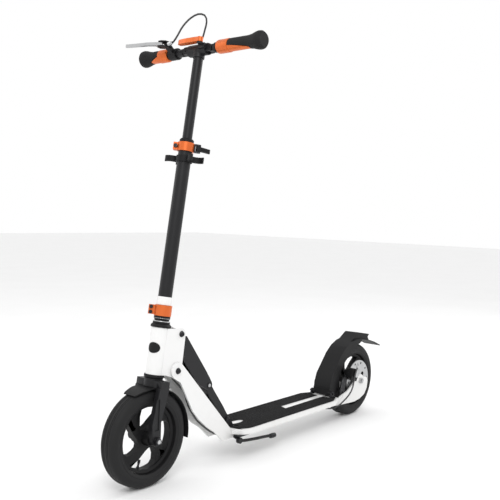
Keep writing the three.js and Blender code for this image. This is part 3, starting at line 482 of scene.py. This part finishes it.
# ---- Bolt heads and rivet ---------------------------------------------------------------
# The fold bolt and the strut's top bolt have low domed heads with a round socket. The
# strut's knee is held by a bright rivet.
def stand_on(shape, place, direction):
    turn = Vector(direction).to_track_quat("Z", "Y").to_matrix().to_4x4()
    bmesh.ops.transform(shape, matrix=Matrix.Translation(place) @ turn, verts=shape.verts)


def socket_head(name, place, direction, radius, rise, material, body, socket=True):
    profile = [(0.0, 0.0), (radius, 0.0), (radius, rise * 0.45), (radius * 0.86, rise * 0.85),
               (radius * 0.62, rise), (0.0, rise)]
    shape = revolved([(r, 0.0, z) for r, z in profile], (0.0, 0.0, 1.0), 36, closed=False)
    bmesh.ops.remove_doubles(shape, verts=shape.verts, dist=0.000001)
    if socket:
        top = [f for f in shape.faces if f.calc_center_median().z > rise - 0.000001]
        bmesh.ops.dissolve_faces(shape, faces=top)
        shape.faces.ensure_lookup_table()
        cap = max(shape.faces, key=lambda f: f.calc_center_median().z)
        bmesh.ops.inset_region(shape, faces=[cap], thickness=radius * 0.2, depth=0.0)
        made = bmesh.ops.extrude_face_region(shape, geom=[cap])
        floor_verts = [v for v in made["geom"] if isinstance(v, bmesh.types.BMVert)]
        bmesh.ops.translate(shape, verts=floor_verts, vec=(0.0, 0.0, -rise * 0.6))
        if cap.is_valid:
            bmesh.ops.delete(shape, geom=[cap], context="FACES_ONLY")
    stand_on(shape, place, direction)
    return put(shape, name, material, body)


def outer_face(stands_on, side):
    low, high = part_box(stands_on)
    middle = (low + high) / 2.0
    return Vector((middle.x, high.y if side > 0 else low.y, middle.z))


screws = (("fold_bolt", "fold_bolt", "deck"), ("strut_bolt", "strut_top_bolt", "head"))
for name, on, body in screws:
    for side, word in ((1.0, "left"), (-1.0, "right")):
        socket_head(f"{name}_head_{word}", outer_face(on, side), (0.0, side, 0.0), 0.0052, 0.0016,
                    oxide, body)

joints = {joint["name"]: joint for joint in frame["joints"]}
lower_link_share = 0.421
knee = Vector(joints["strut_low"]["pos_m"]).lerp(
    Vector(joints["strut_top"]["pos_m"]), lower_link_share)
link_low, link_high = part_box("strut_upper_link")
for side, word in ((1.0, "left"), (-1.0, "right")):
    face_y = link_high.y if side > 0 else link_low.y
    socket_head(f"knee_rivet_{word}", Vector((knee.x, face_y, knee.z)), (0.0, side, 0.0), 0.0044,
                0.0014, bright, "upper_link", socket=False)


# ---- Headset rings and badge ------------------------------------------------------------
# Thin polished rings show between the bearing cups and the nut. The badge is a plain black
# domed oval, pressed round the front of the head tube, with nothing on it.
column_axis = Vector(joints["steering"]["axis"]).normalized()
column_point = Vector(joints["steering"]["pos_m"])
column_front = Vector((column_axis.z, 0.0, -column_axis.x))


def on_column(middle):
    return column_point + column_axis * (Vector(middle) - column_point).dot(column_axis)


def polished_ring(name, place, inner, outer, thick, body):
    profile = [(inner, -thick), (outer - thick * 0.5, -thick), (outer, 0.0),
               (outer - thick * 0.5, thick), (inner, thick)]
    shape = revolved([(r, 0.0, z) for r, z in profile], (0.0, 0.0, 1.0), 56)
    stand_on(shape, place, column_axis)
    put(shape, name, bright, body)


def node_middle(name):
    low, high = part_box(name)
    return (low + high) / 2.0


nut_middle = on_column(node_middle("headset_nut"))
polished_ring("headset_ring_high", nut_middle + column_axis * 0.004,
              0.0150, 0.0196, 0.0009, "column")
polished_ring("headset_ring_low", nut_middle - column_axis * 0.003,
              0.0160, 0.0212, 0.0009, "column")

badge = bmesh.new()
wide, tall, head_radius = 0.0165, 0.0125, 0.0218
badge_turn, badge_steps, badge_sides = 0.3, 8, 48
badge_place = on_column(node_middle("head_badge"))
side_axis = Vector((0.0, 1.0, 0.0))


def badge_point(share, angle):
    across, up = share * math.cos(angle), share * math.sin(angle)
    around = badge_turn + across * wide / head_radius
    outward = column_front * math.cos(around) + side_axis * math.sin(around)
    raised = 0.0005 + 0.0009 * (1.0 - share ** 6)
    along = badge_place + column_axis * (up * tall)
    return badge.verts.new(along + outward * (head_radius + raised))


badge_rings = [
    [badge_point(step / badge_steps, 2.0 * math.pi * i / badge_sides) for i in range(badge_sides)]
    for step in range(1, badge_steps + 1)
]
badge_centre = badge_point(0.0, 0.0)
for i in range(badge_sides):
    j = (i + 1) % badge_sides
    badge.faces.new((badge_centre, badge_rings[0][i], badge_rings[0][j]))
    for inner, outer in zip(badge_rings, badge_rings[1:]):
        badge.faces.new((inner[i], outer[i], outer[j], inner[j]))
badge_piece = put(badge, "badge_plate", moulded, "head")
thick = badge_piece.modifiers.new("thickness", "SOLIDIFY")
thick.thickness = 0.0006
thick.offset = 0.0
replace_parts(badge_piece, "head_badge")


# ---- Brake cable adjuster ---------------------------------------------------------------
# Where the cable leaves the lever it passes through a small knurled bright barrel, which
# takes up slack.
cable_points = [v.co.copy() for v in nodes["brake_cable_upper"].data.vertices]
cable_side = min(p.y for p in cable_points)


def cable_middle(first, last):
    near = [p for p in cable_points if cable_side + first <= p.y <= cable_side + last]
    return sum(near, Vector()) / len(near)


barrel_place = cable_middle(0.0, 0.002)
barrel_way = cable_middle(0.008, 0.016) - barrel_place
outline = [(0.0026, 0.0), (0.0046, 0.0)]
for ridge in range(6):
    outline += [(0.0046, 0.0008 + ridge * 0.0016), (0.0040, 0.0016 + ridge * 0.0016)]
outline += [(0.0046, 0.0104), (0.0034, 0.0112), (0.0034, 0.0150), (0.0026, 0.0150)]
barrel = revolved([(r, 0.0, z) for r, z in outline], (0.0, 0.0, 1.0), 28)
stand_on(barrel, barrel_place, barrel_way)
put(barrel, "cable_adjuster", bright, "arm_right")


# ---- Brake cable, where it leaves the head ----------------------------------------------
# The lower length of cable runs inside the column and leaves the head above the fold. It is
# cut there, so that the length in the column folds with it and the rest stays on the deck.
cable_exit_height = 0.293
for name, body, above in (("cable_in_column", "head", True), ("cable_along_deck", "deck", False)):
    length = bmesh.new()
    length.from_mesh(nodes["brake_cable_lower"].data)
    bmesh.ops.remove_doubles(length, verts=length.verts, dist=0.000001)
    bmesh.ops.bisect_plane(
        length, geom=length.verts[:] + length.edges[:] + length.faces[:],
        plane_co=(0.0, 0.0, cable_exit_height), plane_no=(0.0, 0.0, 1.0),
        clear_inner=above, clear_outer=not above,
    )
    open_edges = [edge for edge in length.edges if edge.is_boundary]
    bmesh.ops.holes_fill(length, edges=open_edges, sides=0)
    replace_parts(put(length, name, sleeve, body), "brake_cable_lower")
